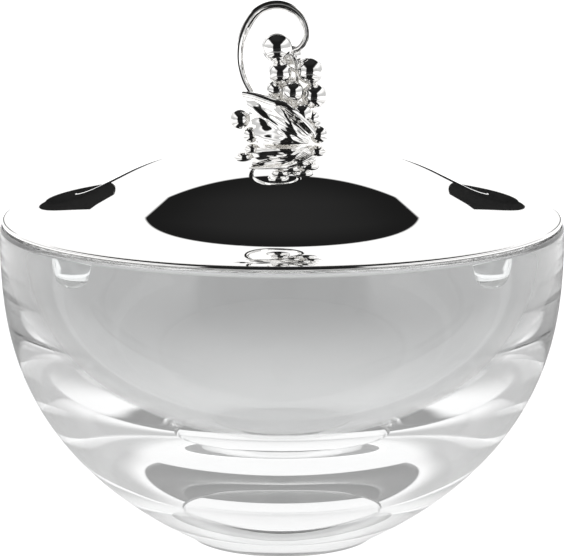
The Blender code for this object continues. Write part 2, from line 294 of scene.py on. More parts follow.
class EffectGroup:
    """A shader node group under construction, with named sockets."""

    def __init__(self, name: str, inputs: dict[str, float | None], outputs: Sequence[str]) -> None:
        """Open the group.

        Args:
            name: Its name.
            inputs: Names and defaults of the inputs, None for a vector.
            outputs: Names of the outputs.
        """
        self.tree = bpy.data.node_groups.new(name, "ShaderNodeTree")
        for socket, default in inputs.items():
            kind = "NodeSocketVector" if default is None else "NodeSocketFloat"
            item = self.tree.interface.new_socket(name=socket, in_out="INPUT", socket_type=kind)
            if default is not None:
                item.default_value = default
        for socket in outputs:
            self.tree.interface.new_socket(name=socket, in_out="OUTPUT", socket_type="NodeSocketFloat")
        self.start = self.tree.nodes.new("NodeGroupInput")
        self.end = self.tree.nodes.new("NodeGroupOutput")

    def output(self, name: str, source: bpy.types.NodeSocket) -> None:
        """Send a value out of the group."""
        self.tree.links.new(source, self.end.inputs[name])


def math_node(tree: bpy.types.NodeTree, operation: str,
              *values: bpy.types.NodeSocket | float) -> bpy.types.NodeSocket:
    """A clamp-free math node.

    Args:
        tree: The node tree.
        operation: The node's operation.
        values: Its inputs, each a socket or a number.

    Returns:
        Its output.
    """
    node = tree.nodes.new("ShaderNodeMath")
    node.operation = operation
    for socket, value in zip(node.inputs, values):
        if isinstance(value, bpy.types.NodeSocket):
            tree.links.new(value, socket)
        else:
            socket.default_value = value
    return node.outputs[0]


def ramp_node(tree: bpy.types.NodeTree, value: bpy.types.NodeSocket, low: float, high: float,
              out_low: float = 0.0, out_high: float = 1.0) -> bpy.types.NodeSocket:
    """A smooth step.

    Args:
        tree: The node tree.
        value: The value to map.
        low: Where the step starts.
        high: Where it ends.
        out_low: The result at its start.
        out_high: The result at its end.

    Returns:
        The mapped value.
    """
    node = tree.nodes.new("ShaderNodeMapRange")
    node.interpolation_type = "SMOOTHSTEP"
    tree.links.new(value, node.inputs["Value"])
    for name, number in (("From Min", low), ("From Max", high), ("To Min", out_low), ("To Max", out_high)):
        node.inputs[name].default_value = number
    return node.outputs["Result"]


def below_node(tree: bpy.types.NodeTree, value: bpy.types.NodeSocket, factor: float,
               limit: bpy.types.NodeSocket, edge: float) -> bpy.types.NodeSocket:
    """A mask of where a value is below a limit times a factor.

    Args:
        tree: The node tree.
        value: The value.
        factor: The factor.
        limit: The limit.
        edge: How soft the mask's edge is.

    Returns:
        The mask.
    """
    past = math_node(tree, "MULTIPLY_ADD", limit, -factor, value)
    return ramp_node(tree, past, edge, -edge)


def noise_node(tree: bpy.types.NodeTree, vector: bpy.types.NodeSocket, scale: float, detail: float = 3.0,
               stretch: tuple[float, float, float] = (1.0, 1.0, 1.0)) -> bpy.types.NodeSocket:
    """Noise along a vector.

    Args:
        tree: The node tree.
        vector: The place.
        scale: Features per metre.
        detail: Octaves.
        stretch: Scale of each axis.

    Returns:
        The noise, from 0 to 1.
    """
    mapping = tree.nodes.new("ShaderNodeMapping")
    mapping.inputs["Scale"].default_value = stretch
    tree.links.new(vector, mapping.inputs["Vector"])
    node = tree.nodes.new("ShaderNodeTexNoise")
    node.inputs["Scale"].default_value = scale
    node.inputs["Detail"].default_value = detail
    tree.links.new(mapping.outputs[0], node.inputs["Vector"])
    return node.outputs[0]


def scratches_group() -> bpy.types.NodeTree:
    """Hairline wiping scratches in three directions, as a height and a mask.

    Returns:
        The node group.
    """
    group = EffectGroup("hairline_scratches", {"Vector": None, "Amount": 1.0}, ["Height", "Mask"])
    vector, amount = group.start.outputs["Vector"], group.start.outputs["Amount"]
    hairs_per_metre, patches_per_metre = 2600.0, 90.0
    lines = None
    for stretch in ((1.0, 0.04, 0.3), (0.05, 1.0, 0.4), (0.7, 0.9, 0.05)):
        noise = noise_node(group.tree, vector, hairs_per_metre, 2.0, stretch)
        line = ramp_node(group.tree, noise, 0.66, 0.76)
        lines = line if lines is None else math_node(group.tree, "MAXIMUM", lines, line)
    patches = ramp_node(group.tree, noise_node(group.tree, vector, patches_per_metre), 0.4, 0.65)
    mask = math_node(group.tree, "MULTIPLY", math_node(group.tree, "MULTIPLY", lines, patches), amount)
    group.output("Mask", mask)
    group.output("Height", math_node(group.tree, "MULTIPLY", mask, -1.0))
    return group.tree


def handling_group() -> bpy.types.NodeTree:
    """Faint smears and dust left by handling, as a mask.

    Returns:
        The node group.
    """
    group = EffectGroup("handling_marks", {"Vector": None, "Amount": 1.0}, ["Mask"])
    vector = group.start.outputs["Vector"]
    smears_per_metre, specks_per_metre, dust_share = 60.0, 1900.0, 0.5
    streaks = noise_node(group.tree, vector, smears_per_metre, 5.0, (1.0, 1.6, 0.5))
    smears = ramp_node(group.tree, streaks, 0.5, 0.75)
    dust = ramp_node(group.tree, noise_node(group.tree, vector, specks_per_metre, 2.0), 0.7, 0.78)
    both = math_node(group.tree, "ADD", smears, math_node(group.tree, "MULTIPLY", dust, dust_share))
    group.output("Mask", math_node(group.tree, "MULTIPLY", both, group.start.outputs["Amount"]))
    return group.tree


def rings_group() -> bpy.types.NodeTree:
    """Fine turning rings round the Z axis, as a height.

    Returns:
        The node group.
    """
    inputs = {"Vector": None, "Rings per metre": 2500.0}
    group = EffectGroup("turning_rings", inputs, ["Height"])
    split = group.tree.nodes.new("ShaderNodeSeparateXYZ")
    group.tree.links.new(group.start.outputs["Vector"], split.inputs[0])
    squares = [math_node(group.tree, "POWER", math_node(group.tree, "ABSOLUTE", split.outputs[axis]), 2.0)
               for axis in ("X", "Y")]
    radius = math_node(group.tree, "SQRT", math_node(group.tree, "ADD", *squares))
    place = math_node(group.tree, "ADD", radius, split.outputs["Z"])
    turns = math_node(group.tree, "MULTIPLY", place, group.start.outputs["Rings per metre"])
    wave = math_node(group.tree, "SINE", math_node(group.tree, "MULTIPLY", turns, math.tau))
    patches_per_metre = 150.0
    uneven = noise_node(group.tree, group.start.outputs["Vector"], patches_per_metre)
    group.output("Height", math_node(group.tree, "MULTIPLY", wave, uneven))
    return group.tree


def tarnish_group() -> bpy.types.NodeTree:
    """Warm grey tarnish in cloudy patches, as a mask.

    Returns:
        The node group.
    """
    group = EffectGroup("tarnish", {"Vector": None, "Amount": 1.0, "Scale": 400.0}, ["Mask"])
    noise = group.tree.nodes.new("ShaderNodeTexNoise")
    noise.inputs["Detail"].default_value = 5.0
    group.tree.links.new(group.start.outputs["Vector"], noise.inputs["Vector"])
    group.tree.links.new(group.start.outputs["Scale"], noise.inputs["Scale"])
    cloud = ramp_node(group.tree, noise.outputs[0], 0.52, 0.74)
    group.output("Mask", math_node(group.tree, "MULTIPLY", cloud, group.start.outputs["Amount"]))
    return group.tree


class Effects(Enum):
    """The shared effects, each built when a finish first asks for it."""

    SCRATCHES = "hairline_scratches"
    HANDLING = "handling_marks"
    RINGS = "turning_rings"
    TARNISH = "tarnish"

    def tree(self) -> bpy.types.NodeTree:
        """Fetch this effect's node group, and make it the first time.

        Returns:
            The node group.
        """
        makers = {
            Effects.SCRATCHES: scratches_group,
            Effects.HANDLING: handling_group,
            Effects.RINGS: rings_group,
            Effects.TARNISH: tarnish_group,
        }
        return bpy.data.node_groups.get(self.value) or makers[self]()


# ---------------------------------------------------------------- finishes


class Dressing:
    """A material under construction: a Principled shader and the piece's own coordinates."""

    def __init__(self, name: str, colour: Colour, roughness: float) -> None:
        """Start a material.

        Args:
            name: Its name.
            colour: Its base colour.
            roughness: Its roughness where it is clean.
        """
        self.material = bpy.data.materials.new(name)
        self.material.use_nodes = True
        self.tree = self.material.node_tree
        self.shader = self.tree.nodes["Principled BSDF"]
        self.shader.inputs["Base Color"].default_value = (*colour, 1)
        self.shader.inputs["Roughness"].default_value = roughness
        self.colour, self.roughness = colour, roughness
        self.place = self.tree.nodes.new("ShaderNodeTexCoord").outputs["Object"]

    def effect(self, kind: Effects, **settings: float) -> bpy.types.Node:
        """Add a shared effect.

        Args:
            kind: The effect.
            settings: Its inputs, with underscores for spaces.

        Returns:
            The group's node.
        """
        node = self.tree.nodes.new("ShaderNodeGroup")
        node.node_tree = kind.tree()
        self.tree.links.new(self.place, node.inputs["Vector"])
        for name, value in settings.items():
            node.inputs[name.replace("_", " ")].default_value = value
        return node

    def rougher(self, mask: bpy.types.NodeSocket, extra: float) -> None:
        """Raise the roughness.

        Args:
            mask: 0 where it stays as it is to 1.
            extra: What is added where the mask is 1.
        """
        lifted = math_node(self.tree, "MULTIPLY_ADD", mask, extra, self.roughness)
        self.tree.links.new(lifted, self.shader.inputs["Roughness"])

    def tinted(self, mask: bpy.types.NodeSocket, tint: Colour) -> None:
        """Mix in a second colour: real smears, dust or tarnish on the finishes, painted shade on the floor.

        Args:
            mask: 0 where the base colour stays to 1 where the second colour takes over.
            tint: The second colour, a real smear, dust or tarnish, or the floor's painted shade.
        """
        mix = self.tree.nodes.new("ShaderNodeMix")
        mix.data_type = "RGBA"
        mix.inputs[6].default_value = (*self.colour, 1)
        mix.inputs[7].default_value = (*tint, 1)
        self.tree.links.new(mask, mix.inputs[0])
        self.tree.links.new(mix.outputs[2], self.shader.inputs["Base Color"])

    def bumped(self, height: bpy.types.NodeSocket, depth: float) -> None:
        """Raise the surface.

        Args:
            height: The height, about 0 to 1.
            depth: What a height of 1 stands for, in metres.
        """
        bump = self.tree.nodes.new("ShaderNodeBump")
        bump.inputs["Distance"].default_value = depth
        self.tree.links.new(height, bump.inputs["Height"])
        self.tree.links.new(bump.outputs[0], self.shader.inputs["Normal"])


@dataclass(frozen=True)
class CrystalFinish:
    """Clear lead crystal, fire-polished, with the faintest smears."""

    colour: Colour = (0.965, 0.97, 0.97)
    smeared: Colour = (0.93, 0.935, 0.935)
    smears: float = 0.4
    smear_roughness: float = 0.006
    index: float = 1.52

    def build(self) -> bpy.types.Material:
        """Make the material.

        Returns:
            The material.
        """
        dressing = Dressing("crystal", self.colour, 0.0)
        marks = dressing.effect(Effects.HANDLING, Amount=self.smears).outputs["Mask"]
        dressing.tinted(marks, self.smeared)
        dressing.rougher(marks, self.smear_roughness)
        dressing.shader.inputs["IOR"].default_value = self.index
        dressing.shader.inputs["Transmission Weight"].default_value = 1.0
        return dressing.material


@dataclass(frozen=True)
class RubberFinish:
    """Clear soft rubber with a slightly dull skin."""

    colour: Colour = (0.93, 0.94, 0.94)
    dusty: Colour = (0.8, 0.8, 0.79)
    roughness: float = 0.04
    dust: float = 0.8
    dust_roughness: float = 0.12
    index: float = 1.45

    def build(self) -> bpy.types.Material:
        """Make the material.

        Returns:
            The material.
        """
        dressing = Dressing("clear_rubber", self.colour, self.roughness)
        marks = dressing.effect(Effects.HANDLING, Amount=self.dust).outputs["Mask"]
        dressing.tinted(marks, self.dusty)
        dressing.rougher(marks, self.dust_roughness)
        dressing.shader.inputs["IOR"].default_value = self.index
        dressing.shader.inputs["Transmission Weight"].default_value = 1.0
        return dressing.material


@dataclass(frozen=True)
class SpunSilverFinish:
    """Mirror-polished spun silver with faint turning rings, wiping scratches and smears."""

    colour: Colour = (0.975, 0.97, 0.962)
    smeared: Colour = (0.93, 0.925, 0.915)
    roughness: float = 0.012
    scratches: float = 0.5
    smears: float = 0.5
    rings: float = 2200.0
    ring_height: float = 0.02
    worn_roughness: float = 0.035
    depth: float = 0.0004 * MM

    def build(self) -> bpy.types.Material:
        """Make the material.

        Returns:
            The material.
        """
        dressing = Dressing("spun_silver", self.colour, self.roughness)
        dressing.shader.inputs["Metallic"].default_value = 1.0
        scratches = dressing.effect(Effects.SCRATCHES, Amount=self.scratches)
        smears = dressing.effect(Effects.HANDLING, Amount=self.smears).outputs["Mask"]
        rings = dressing.effect(Effects.RINGS, Rings_per_metre=self.rings).outputs["Height"]
        dressing.tinted(smears, self.smeared)
        worn = math_node(dressing.tree, "MAXIMUM", scratches.outputs["Mask"], smears)
        dressing.rougher(worn, self.worn_roughness)
        height = math_node(dressing.tree, "MULTIPLY_ADD", rings, self.ring_height, scratches.outputs["Height"])
        dressing.bumped(height, self.depth)
        return dressing.material


@dataclass(frozen=True)
class CastSilverFinish:
    """Cast and hand-polished silver: a softly uneven skin with tarnish where a cloth doesn't reach."""

    colour: Colour = (0.965, 0.96, 0.95)
    tarnished: Colour = (0.42, 0.4, 0.37)
    roughness: float = 0.03
    scratches: float = 0.7
    tarnish: float = 0.35
    cloud_scale: float = 420.0
    worn_roughness: float = 0.16
    skin_scale: float = 520.0
    skin_depth: float = 0.06 * MM
    scratch_share: float = 0.01

    def build(self) -> bpy.types.Material:
        """Make the material.

        Returns:
            The material.
        """
        dressing = Dressing("cast_silver", self.colour, self.roughness)
        dressing.shader.inputs["Metallic"].default_value = 1.0
        scratches = dressing.effect(Effects.SCRATCHES, Amount=self.scratches)
        tint = dressing.effect(Effects.TARNISH, Amount=self.tarnish, Scale=self.cloud_scale).outputs["Mask"]
        dressing.tinted(tint, self.tarnished)
        worn = math_node(dressing.tree, "MAXIMUM", tint, scratches.outputs["Mask"])
        dressing.rougher(worn, self.worn_roughness)
        skin = noise_node(dressing.tree, dressing.place, self.skin_scale, 1.0)
        height = math_node(dressing.tree, "MULTIPLY_ADD", scratches.outputs["Height"], self.scratch_share, skin)
        dressing.bumped(height, self.skin_depth)
        return dressing.material


@dataclass(frozen=True)
class TurnedFinish:
    """Metal left as the lathe cut it."""

    name: str
    colour: Colour
    roughness: float
    rings: float = 5200.0
    ring_depth: float = 0.008 * MM
    tarnish: float = 0.5
    cloud_scale: float = 900.0
    tarnish_share: float = 0.55
    tarnish_roughness: float = 0.2

    def build(self) -> bpy.types.Material:
        """Make the material.

        Returns:
            The material.
        """
        dressing = Dressing(self.name, self.colour, self.roughness)
        dressing.shader.inputs["Metallic"].default_value = 1.0
        rings = dressing.effect(Effects.RINGS, Rings_per_metre=self.rings).outputs["Height"]
        tint = dressing.effect(Effects.TARNISH, Amount=self.tarnish, Scale=self.cloud_scale).outputs["Mask"]
        dressing.tinted(tint, tuple(part * self.tarnish_share for part in self.colour))
        dressing.rougher(tint, self.tarnish_roughness)
        dressing.bumped(rings, self.ring_depth)
        return dressing.material


# ---------------------------------------------------------------- the bowl


@dataclass
class CrystalBowl:
    """The thick crystal bowl. Its outer side is (r / radius) ** bulge + (depth / reach) ** drop = 1."""

    radius: float
    height: float
    foot_radius: float = 18.0 * MM
    foot_corner: float = 0.7 * MM
    bulge: float = 1.322
    drop: float = 2.724
    rim_wall: float = 5.0 * MM
    rim_corner: float = 0.9 * MM
    base_thickness: float = 14.0 * MM
    hollow_bulge: float = 1.75
    hollow_drop: float = 2.5
    rings: int = 72
    sides: int = 256

    def reach(self) -> float:
        """Depth at which the outer side would meet the axis."""
        share = (self.foot_radius / self.radius) ** self.bulge
        return self.height / (1 - share) ** (1 / self.drop)

    def outer(self) -> Outline:
        """The outer side, from the foot up.

        Returns:
            Points of the section.
        """
        points = []
        for i in range(self.rings + 1):
            spread = math.sin(math.pi / 2 * (1 - i / self.rings))
            depth = self.rim_corner + (self.height - self.foot_corner - self.rim_corner) * spread
            r = self.radius * (1 - (depth / self.reach()) ** self.drop) ** (1 / self.bulge)
            points.append((r, self.height - depth))
        return points

    def inner(self) -> Outline:
        """The hollow, from the rim down to the axis.

        Returns:
            Points of the section.
        """
        hollow = self.radius - self.rim_wall
        depth = self.height - self.base_thickness
        points = []
        for i in range(self.rings + 1):
            angle = math.pi / 2 * i / self.rings
            r = hollow * max(math.cos(angle), 0.0) ** (2 / self.hollow_bulge)
            d = self.rim_corner + (depth - self.rim_corner) * math.sin(angle) ** (2 / self.hollow_drop)
            points.append((r, self.height - d))
        points[-1] = (0.0, self.base_thickness)
        return points

    def outline(self) -> Outline:
        """The whole section from the middle of the foot round to the middle of the hollow.

        Returns:
            Points of the section.
        """
        outer, inner = self.outer(), self.inner()
        high = self.height - self.rim_corner
        foot = [(0.0, 0.0), (outer[0][0] - self.foot_corner, 0.0)]
        outer_rim = arc(outer[-1][0] - self.rim_corner, high, self.rim_corner, 0, 90, 8)
        inner_rim = arc(inner[0][0] + self.rim_corner, high, self.rim_corner, 90, 180, 8)
        return foot + outer[:-1] + outer_rim + inner_rim[:-1] + inner

    def build(self, finish: CrystalFinish) -> bpy.types.Object:
        """Turn the bowl and dress it.

        Args:
            finish: Its finish.

        Returns:
            The bowl.
        """
        mesh = turned_mesh("bowl", self.outline(), self.sides)
        return add_piece("bowl", mesh, finish.build(), Body.BOWL, ["glass_bowl"])


# ---------------------------------------------------------------- the lid


@dataclass
class SpunLid:
    """The spun sheet: a crown arc, a shoulder arc, a straight flank and a hollow brim, all tangent."""

    radius: float
    edge_top: float
    sheet: float = 1.0 * MM
    hole: float = 1.8 * MM
    crown_angle: float = 12.8
    flank_angle: float = 27.0
    edge_angle: float = 1.0
    flank_run: float = 6.3 * MM
    crown_share: float = 0.342
    shoulder_share: float = 0.304
    rings: int = 40
    sides: int = 256

    def upper(self) -> list[tuple[float, float, float]]:
        """The upper side, from the middle out.

        Returns:
            Points as (radius, height, slope angle).
        """
        crown_a, flank_a, edge_a = (math.radians(a) for a in (self.crown_angle, self.flank_angle, self.edge_angle))
        curved = self.radius - self.flank_run
        crown = curved * self.crown_share / math.sin(crown_a)
        shoulder = curved * self.shoulder_share / (math.sin(flank_a) - math.sin(crown_a))
        brim = curved * (1 - self.crown_share - self.shoulder_share) / (math.sin(flank_a) - math.sin(edge_a))
        points = []
        for i in range(self.rings + 1):
            a = edge_a + (flank_a - edge_a) * i / self.rings
            r = self.radius - brim * (math.sin(a) - math.sin(edge_a))
            points.append((r, self.edge_top + brim * (math.cos(edge_a) - math.cos(a)), a))
        r0, z0 = points[-1][0] - self.flank_run, points[-1][1] + self.flank_run * math.tan(flank_a)
        for i in range(self.rings + 1):
            a = flank_a + (crown_a - flank_a) * i / self.rings
            r = r0 - shoulder * (math.sin(flank_a) - math.sin(a))
            points.append((r, z0 + shoulder * (math.cos(a) - math.cos(flank_a)), a))
        z1 = points[-1][1]
        for i in range(1, self.rings + 1):
            a = crown_a * (1 - i / self.rings)
            points.append((crown * math.sin(a), z1 + crown * (math.cos(a) - math.cos(crown_a)), a))
        return points[::-1]

    def crown_radius(self) -> float:
        """Radius of the crown's arc."""
        return (self.radius - self.flank_run) * self.crown_share / math.sin(math.radians(self.crown_angle))

    def at(self, radius: float) -> tuple[float, float]:
        """Height and slope of the upper side.

        Args:
            radius: Distance from the axis.

        Returns:
            The height and the slope angle there.
        """
        upper = self.upper()
        outer = next(i for i, point in enumerate(upper) if point[0] > radius)
        (r0, z0, a0), (r1, z1, a1) = upper[outer - 1], upper[outer]
        share = (radius - r0) / (r1 - r0)
        return z0 + share * (z1 - z0), a0 + share * (a1 - a0)

    def outline(self) -> Outline:
        """The closed section of the sheet with its rounded edge and the stud's hole.

        Returns:
            Points of the section.
        """
        upper = [p for p in self.upper() if p[0] > self.hole]
        below = [(r - self.sheet * math.sin(a), z - self.sheet * math.cos(a)) for r, z, a in upper]
        below = [p for p in below if p[0] > self.hole]
        half = self.sheet / 2
        edge = arc(upper[-1][0] - half, upper[-1][1] - half, half, 90, -90, 8)
        top = self.upper()[0][1]
        return ([(self.hole, top)] + [(r, z) for r, z, _ in upper[:-1]] + edge + below[-2::-1]
                + [(self.hole, top - self.sheet)])

    def build(self, finish: SpunSilverFinish) -> bpy.types.Object:
        """Spin the lid and dress it.

        Args:
            finish: Its finish.

        Returns:
            The lid.
        """
        mesh = turned_mesh("lid", self.outline(), self.sides, closed=True)
        return add_piece("lid", mesh, finish.build(), Body.LID, ["lid_shell"])


# ---------------------------------------------------------------- the lid's small fittings


@dataclass
class BumperSet:
    """Clear ball-nosed bumpers under the brim, each square to the sheet above it."""

    lid: SpunLid
    radius: float = 3.5 * MM
    length: float = 10.5 * MM
    gap: float = 0.3 * MM
    play: float = 0.6 * MM
    hollow: float = 52.5 * MM
    first_turn: float = -30.0
    count: int = 3
    skirt: float = 0.35 * MM
    sides: int = 64

    def outline(self) -> Outline:
        """Half the section of a bumper: a flat back, a small skirt and a ball nose.

        Returns:
            Points of the section.
        """
        flat = self.length - self.radius
        body = self.radius - self.skirt
        back = [(0.0, 0.0), *arc(self.radius - self.skirt, -self.skirt, self.skirt, 90, 0, 4)]
        waist = arc(self.radius, -3 * self.skirt, self.skirt, 90, 180, 6)
        nose = arc(0.0, body - self.length, body, 0, -90, 24)
        return back + waist + [(body, -flat)] + nose[:-1] + [(0.0, -self.length)]

    def build(self, finish: RubberFinish) -> list[bpy.types.Object]:
        """Make every bumper.

        Args:
            finish: Their finish.

        Returns:
            The bumpers.
        """
        material = finish.build()
        r = self.hollow - self.play - self.radius
        z, slope = self.lid.at(r)
        back = self.lid.sheet + self.gap
        pieces = []
        for i in range(self.count):
            mesh = turned_mesh(f"bumper_{i + 1}", self.outline(), self.sides)
            turn = Matrix.Rotation(math.radians(self.first_turn + 360 * i / self.count), 4, "Z")
            place = Vector((r - back * math.sin(slope), 0.0, z - back * math.cos(slope)))
            mesh.transform(turn @ Matrix.Translation(place) @ Matrix.Rotation(slope, 4, "Y"))
            name = f"bumper_{i + 1}"
            pieces.append(add_piece(f"clear_{name}", mesh, material, Body.LID, [name]))
        return pieces


@dataclass
class LidFixing:
    """The threaded stud, the washer and the knurled round nut that hold the finial to the lid."""

    hole: float = 1.8 * MM
    pitch: float = 0.5 * MM
    thread_depth: float = 0.18 * MM
    flutes: int = 40
    flute_depth: float = 0.12 * MM
    break_edge: float = 0.12 * MM
    sides: int = 80

    def stud(self, finish: TurnedFinish) -> bpy.types.Object:
        """The stud, threaded up to the underside of the crown.

        Args:
            finish: Its finish.

        Returns:
            The stud.
        """
        low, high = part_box("fixing_stud")
        radius, length = high.x, high.z - low.z
        rows = round(length / self.pitch * 8)
        bm = bmesh.new()
        rings = []
        for j in range(rows + 1):
            z = low.z + length * j / rows
            fade = min(1.0, (z - low.z) / self.pitch, (high.z - z) / self.pitch)
            ring = []
            for k in range(self.sides):
                phase = (z / self.pitch - k / self.sides) % 1.0
                cut = self.thread_depth * (1 - abs(2 * phase - 1)) * fade + self.break_edge * (1 - fade)
                turn = math.tau * k / self.sides
                ring.append(bm.verts.new(((radius - cut) * math.cos(turn), (radius - cut) * math.sin(turn), z)))
            rings.append(ring)
        bridge(bm, rings)
        bm.faces.new(rings[0])
        bm.faces.new(rings[-1])
        mesh = finish_mesh(bm, "stud")
        return add_piece("stud", mesh, finish.build(), Body.HUB, ["fixing_stud"])

    def ring(self, name: str, node: str, finish: TurnedFinish, slot: Slot, flutes: int) -> bpy.types.Object:
        """A turned ring with its edges broken, fluted round its side if it has flutes.

        Args:
            name: Name of the piece.
            node: The CAD node that it stands for.
            finish: Its finish.
            slot: Not used.
            flutes: Number of flutes, or 0 for a plain side.

        Returns:
            The ring.
        """
        low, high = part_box(node)
        edge = self.break_edge * (3 if flutes else 1)
        outer = high.x
        outline = [(self.hole + edge, low.z), *arc(outer - edge, low.z + edge, edge, -90, 0, 5)]
        outline += [*arc(outer - edge, high.z - edge, edge, 0, 90, 5), (self.hole + edge, high.z)]
        outline += [(self.hole, high.z - edge), (self.hole, low.z + edge)]
        mesh = turned_mesh(name, outline, self.sides * (3 if flutes else 1), closed=True)
        for vert in mesh.vertices if flutes else ():
            flat = vert.co.to_2d()
            if flat.length > outer - self.break_edge:
                turn = math.atan2(flat.y, flat.x)
                flat *= 1 - self.flute_depth / outer * abs(math.sin(flutes * turn / 2)) ** 0.5
                vert.co.xy = flat
        return add_piece(name, mesh, finish.build(), Body.HUB, [node])

    def build(self) -> None:
        """Make the stud, the washer and the nut."""
        self.stud(TurnedFinish("stud_silver", (0.86, 0.85, 0.83), 0.16))
        self.ring("thin_washer", "washer", TurnedFinish("washer_steel", (0.58, 0.58, 0.58), 0.28), Slot.STEEL, 0)
        nut = TurnedFinish("nut_silver", (0.88, 0.87, 0.85), 0.12)
        self.ring("knurled_nut", "round_nut", nut, Slot.FIXING, self.flutes)


# ---------------------------------------------------------------- the finial


@dataclass
class Tendril:
    """The tapered wire that curls up from the leaf's tip and over the bunch: arcs of (radius, degrees)."""

    crown_top: float
    arcs: tuple[tuple[float, float], ...] = ((13.3, 68.0), (6.1, 139.0), (3.8, 95.7))
    start: tuple[float, float, float] = (-6.3, -0.3, 10.3)
    heading: float = 123.5
    back: float = 2.6
    radii: tuple[float, ...] = (0.64, 0.8, 1.14, 1.1, 0.8, 0.56)
    face: tuple[float, float, float] = (0.5, -0.8, 0.33)
    flatness: float = 0.5
    steps: int = 180
    sides: int = 28

    def line(self) -> list[Vector]:
        """Follow the arcs from the leaf's tip.

        Returns:
            Points along its middle, in millimetres from the top of the crown.
        """
        step = sum(radius * math.radians(turn) for radius, turn in self.arcs) / self.steps
        ends = [sum(r * math.radians(t) for r, t in self.arcs[: i + 1]) for i in range(len(self.arcs))]
        place, heading = Vector(self.start), math.radians(self.heading)
        points = []
        for i in range(self.steps + 1):
            share = i / self.steps
            points.append(place + Vector((0.0, self.back * share**3, 0.0)))
            reached = next((k for k, end in enumerate(ends) if i * step < end), len(ends) - 1)
            turned = step / self.arcs[reached][0]
            place = place + Vector((math.cos(heading - turned / 2), 0.0, math.sin(heading - turned / 2))) * step
            heading -= turned
        return points

    def build(self, material: bpy.types.Material) -> bpy.types.Object:
        """Draw the tendril.

        Args:
            material: Its finish.

        Returns:
            The tendril.
        """
        raised = Vector((0.0, 0.0, self.crown_top))
        points = [raised + point * MM for point in self.line()]
        radii = [smooth_between(self.radii, i / self.steps) * MM for i in range(len(points))]
        bm = bmesh.new()
        add_tube(bm, points, radii, self.sides, Vector(self.face), self.flatness)
        mesh = finish_mesh(bm, "tendril_wire")
        return add_piece("tendril_wire", mesh, material, Body.LID, ["tendril"])


